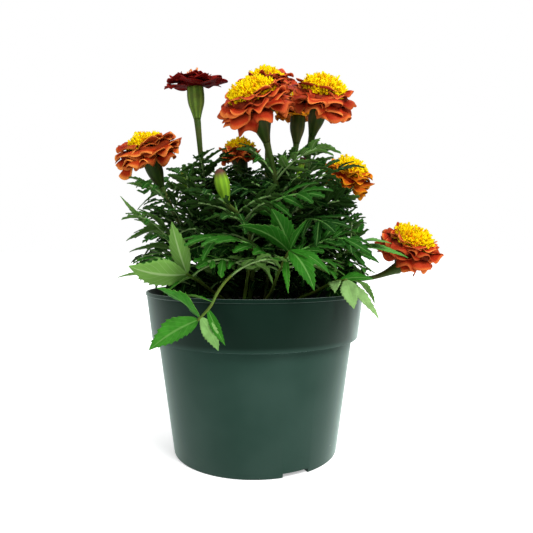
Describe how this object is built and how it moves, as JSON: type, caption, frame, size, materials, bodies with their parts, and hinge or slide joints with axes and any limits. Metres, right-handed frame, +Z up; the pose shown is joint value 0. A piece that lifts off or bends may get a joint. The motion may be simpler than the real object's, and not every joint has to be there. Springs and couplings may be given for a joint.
{
  "type": "potted french marigold",
  "caption": "Bushy marigold plant with ruffled flame-coloured blooms, gold crests and cut leaves, growing in a tapered round nursery pot with a wide rim band.",
  "frame": {"origin": "centre of the pot's flat underside, on the pot's own axis", "axes": "+Z up along the pot's axis, -Y towards the side that the picture shows, +X to that viewer's right"},
  "size_m": [0.2329, 0.1899, 0.2912],
  "materials": {
    "pot": "satin",
    "soil": "matte",
    "foliage": "satin",
    "petal_flame": "matte",
    "petal_maroon": "matte",
    "floret_gold": "matte"
  },
  "bodies": {
    "root": {"pot": "pot", "soil": "soil", "shoot_front": "foliage", "shoot_back": "foliage", "shoot_right": "foliage", "shoot_middle": "foliage", "shoot_dark": "foliage", "shoot_left": "foliage", "shoot_far_back": "foliage", "shoot_right_back": "foliage", "shoot_far_right": "foliage", "shoot_bud": "foliage", "shoot_small_bud": "foliage", "shoot_spent": "foliage", "shoot_back_left": "foliage", "shoot_back_right": "foliage", "shoot_hanging_left": "foliage", "shoot_low_left": "foliage", "shoot_side_left": "foliage", "shoot_rosette": "foliage", "shoot_low_right": "foliage", "shoot_side_right": "foliage", "petals_front": "petal_flame", "crest_front": "floret_gold", "petals_back": "petal_flame", "crest_back": "floret_gold", "petals_right": "petal_flame", "crest_right": "floret_gold", "petals_middle": "petal_flame", "crest_middle": "floret_gold", "petals_dark": "petal_maroon", "crest_dark": "floret_gold", "petals_left": "petal_flame", "crest_left": "floret_gold", "petals_far_back": "petal_flame", "crest_far_back": "floret_gold", "petals_right_back": "petal_flame", "crest_right_back": "floret_gold", "petals_far_right": "petal_flame", "crest_far_right": "floret_gold"}
  },
  "joints": []
}
